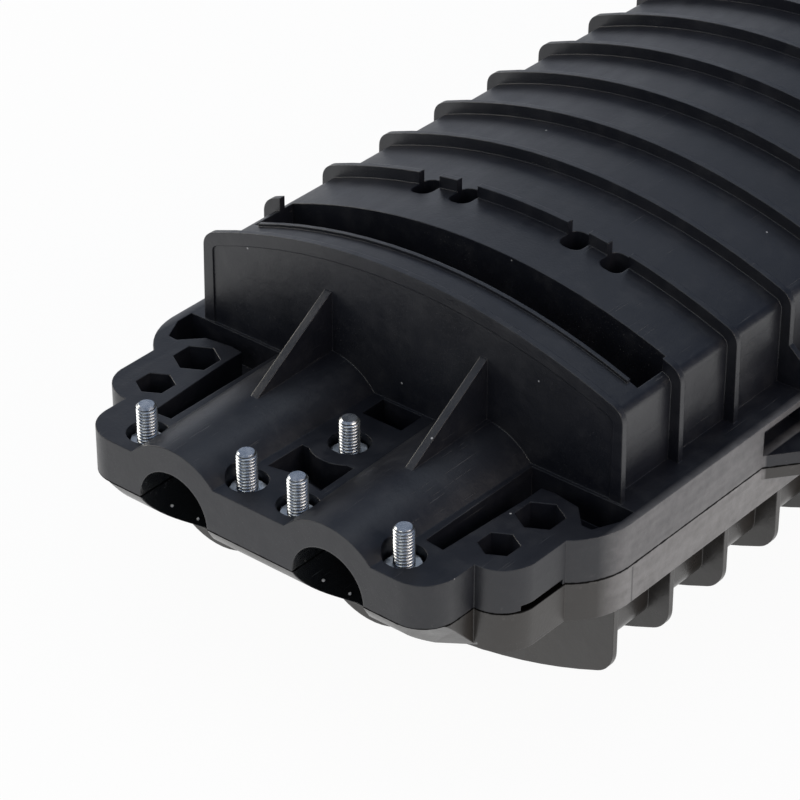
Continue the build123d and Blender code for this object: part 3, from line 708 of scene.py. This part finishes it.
def cross_cut(bench, solid, size):
    """Cuts the cross into the head."""
    bars = []
    for turned in (0.0, math.pi / 2):
        box = bench.add("GeometryNodeMeshCube", {}, {"Size": (3.6 * MM, 0.9 * MM, 2.4 * MM)})
        top = bench.add("ShaderNodeCombineXYZ", {}, {2: size["Head"]})
        moved = {"Geometry": box, "Translation": top, "Rotation": (0.0, 0.0, turned)}
        bars.append(bench.add("GeometryNodeTransform", {}, moved))
    cut = {"operation": "DIFFERENCE", "solver": "EXACT"}
    return bench.add("GeometryNodeMeshBoolean", cut, {"Mesh 1": solid, "Mesh 2": bars})


PAN_ROWS = 12
SMALL = {"Radius": 2.0, "Long": 9.0, "Head radius": 3.5, "Head": 2.4}
PAN = fastener_tree("pan_screw", 32, PAN_ROWS, SMALL, pan_shape(PAN_ROWS), cross_cut)
FRAME_TOP = -28.5


def four(x, y, z):
    """One spot at all four corners."""
    return [(a * x, b * y, z, any_turn()) for a in (-1, 1) for b in (-1, 1)]


M5 = {"Radius": 2.5, "Long": 12.0, "Head radius": 4.5, "Head": 3.0}
BOSS_X = 112.0
BOSS_Y = 48.0
SADDLE_X = 124.0
STRAP_OUT = 18.5
STRAP_TOP = -1.8
CORE_X = 108.0
CORE_TALL = 14
STAND_X = -74.0
STAND_Y = (-35.0, 35.0)
STAND_THICK = 2

frame_spots = four(BOSS_X, BOSS_Y, FRAME_TOP)
strap_spots = four(SADDLE_X, PORT_Y - STRAP_OUT, STRAP_TOP)
strap_spots += four(SADDLE_X, PORT_Y + STRAP_OUT, STRAP_TOP)
core_spots = four(CORE_X, PORT_Y, FRAME_TOP + CORE_TALL)
stand_spots = [(STAND_X, y, FRAME_TOP + STAND_THICK, any_turn()) for y in STAND_Y]
SCREWS = {
    "frame_screws": (frame_spots, M5),
    "strap_screws": (strap_spots, SMALL),
    "core_screws": (core_spots, {**SMALL, "Long": 4.0}),
    "stand_screws": (stand_spots, {**SMALL, "Long": 6.0}),
}
for node, (spots, sizes) in SCREWS.items():
    mesh = grow(node + "_set", PAN, spots, sizes, ZINC)
    put_in_scene(node + "_set", mesh, BODY_OF[node], node, ZINC)
    print(node, len(mesh.polygons), "faces")

# %% [markdown]
# ## Nibs in the lower ports
# Bright points in the dark of the photo's ports were read as small nibs that grip the cable's
# tape. So four stand in each lower half port, round-headed and polished, coloured pale grey as a
# painted highlight for their glint. They stand square on the channel, so each one leans by its own
# angle round the port.

# %% Gripping nibs
def nib_plastic():
    f = Finish("nib_plastic")
    painted_glare = f.clouds(0.5, 2.0)
    # Painted highlight: pale grey colour so the nibs glint in the dark port
    colour = f.blend(painted_glare, grey((0.40, 0.40, 0.41)), grey((0.75, 0.75, 0.76)))
    return f.close(Base_Color=colour, Roughness=0.12 + painted_glare * 0.08)


def nib_shape(rows):
    def shape(bench, turn, row, size):
        arc = row / (rows - 1) * (math.pi / 2)
        return size["Radius"] * arc.maths("COSINE", arc), size["Tall"] * arc.maths("SINE", arc)
    return shape


NIB_SIZES = {"Radius": 0.45, "Tall": 0.8}
NIB = fastener_tree("nib", 20, 9, NIB_SIZES, nib_shape(9))
NIB_PLACES = ((55.0, -55), (50.5, -22), (50.5, 22), (55.0, 55))
nib_spots = []
for end in (-1, 1):
    for side in (-1, 1):
        for out, lean in NIB_PLACES:
            a = math.radians(lean)
            y = side * PORT_Y + BORE_R * math.sin(a)
            nib_spots.append((end * (BODY_END + out), y, -BORE_R * math.cos(a), (a, 0.0, 0.0)))
NIB_GLOSS = nib_plastic()
nibs = grow("port_nibs", NIB, nib_spots, NIB_SIZES, NIB_GLOSS, 60)
put_in_scene("port_nibs", nibs, "base", None, NIB_GLOSS)
print("nibs:", len(nib_spots))

# %% [markdown]
# ## Light, floor and camera
# In the photo the sides of the box mirror something white, the top mirrors a dim bluish room,
# and big soft lamps at both sides shape the humps. Here the floor looks white to the camera and
# in reflections, and keeps the box's own soft shadow. The lamps' strengths were found by
# rendering each one alone and weighing them against the tones in the photo.

# %% Floor and world
def white_to_camera(bench, shader, white):
    """Shows nearly plain white to the camera, in gloss and through glass, and the shader to the rest."""
    paths = ("Is Camera Ray", "Is Glossy Ray", "Is Transmission Ray")
    camera, glossy, through = [bench.add("ShaderNodeLightPath", {}, {}, path) for path in paths]
    seen = (camera + glossy + through).least(1.0)
    return bench.add("ShaderNodeMixShader", {}, {0: seen * 0.95, 1: shader, 2: white})


floor = Finish("pale_floor")
matt = floor.add("ShaderNodeBsdfDiffuse", {}, {"Color": grey(0.92)})
glow = floor.add("ShaderNodeEmission", {}, {"Color": grey(1.0), "Strength": 1.0})
floor.add("ShaderNodeOutputMaterial", {}, {"Surface": white_to_camera(floor, matt, glow)})
sheet_of_floor = bpy.data.meshes.new("floor")
wide = 4.0
corners = [(-wide, -wide, 0), (wide, -wide, 0), (wide, wide, 0), (-wide, wide, 0)]
sheet_of_floor.from_pydata(corners, [], [(0, 1, 2, 3)])
sheet_of_floor.materials.append(floor.material)
ground = bpy.data.objects.new("floor", sheet_of_floor)
bpy.context.collection.objects.link(ground)
ground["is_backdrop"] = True

world = bpy.data.worlds.new("light_tent")
world.use_nodes = True
world.node_tree.nodes.clear()
tent = Bench(world.node_tree)
dim = tent.add("ShaderNodeBackground", {}, {"Color": grey((0.50, 0.66, 1.0)), "Strength": 0.19})
tent.add("ShaderNodeOutputWorld", {}, {"Surface": dim})
bpy.context.scene.world = world
print("floor and world ready")

# %% Lamps
def lamp(name, place, aim, wide, tall, watts, colour):
    """A soft rectangular lamp at a place, turned towards a point."""
    light = bpy.data.lights.new(name, "AREA")
    light.shape = "RECTANGLE"
    light.size = wide
    light.size_y = tall
    light.energy = watts
    light.color = colour
    held = bpy.data.objects.new(name, light)
    held.location = place
    held.rotation_euler = (Vector(aim) - Vector(place)).to_track_quat("-Z", "Y").to_euler()
    bpy.context.collection.objects.link(held)
    return held


MIDDLE = (-0.06, 0.0, 0.08)
lamp("top_lamp", (0.05, 0.1, 1.4), MIDDLE, 1.2, 1.2, 4.4, (0.86, 0.93, 1.0))
lamp("far_top_lamp", (1.3, 0.5, 1.0), MIDDLE, 1.0, 0.8, 0.75, (0.95, 0.98, 1.0))
lamp("far_left_lamp", (0.9, 1.1, 0.5), MIDDLE, 1.0, 0.6, 1.15, (0.97, 0.98, 1.0))
lamp("left_lamp", (-0.2, 1.4, 0.7), MIDDLE, 0.9, 0.8, 10.0, (1.0, 0.94, 0.82))
lamp("front_lamp", (-1.5, 0.0, 0.7), MIDDLE, 0.9, 0.7, 4.6, (1.0, 0.97, 0.85))
lamp("right_lamp", (-0.1, -1.4, 0.8), MIDDLE, 1.2, 0.7, 12.0, (1.0, 0.88, 0.76))
print("lamps ready")

# %% [markdown]
# ## Camera
# The camera was worked out from the photo: forty points on ribs, flange and studs fix its place
# and lens. It is a long lens, so the ribs keep nearly the same length towards the back.

# %% Camera
lens = bpy.data.cameras.new("camera")
lens.sensor_width = 36.0
lens.lens = 155.19
lens.clip_start = 0.01
camera = bpy.data.objects.new("camera", lens)
camera.location = (-0.76565, -0.51823, 0.58899)
camera.rotation_euler = (math.radians(90 - 32.506), 0.0, math.radians(39.896 - 90))
bpy.context.collection.objects.link(camera)
bpy.context.scene.camera = camera
bpy.context.scene.view_settings.view_transform = "Standard"
print("camera at", tuple(camera.location))

# %% Sizes
low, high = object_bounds()
sizes = {"cad": [list(cad_low), list(cad_high)], "visual": [list(low), list(high)]}
print("sizes:", sizes)
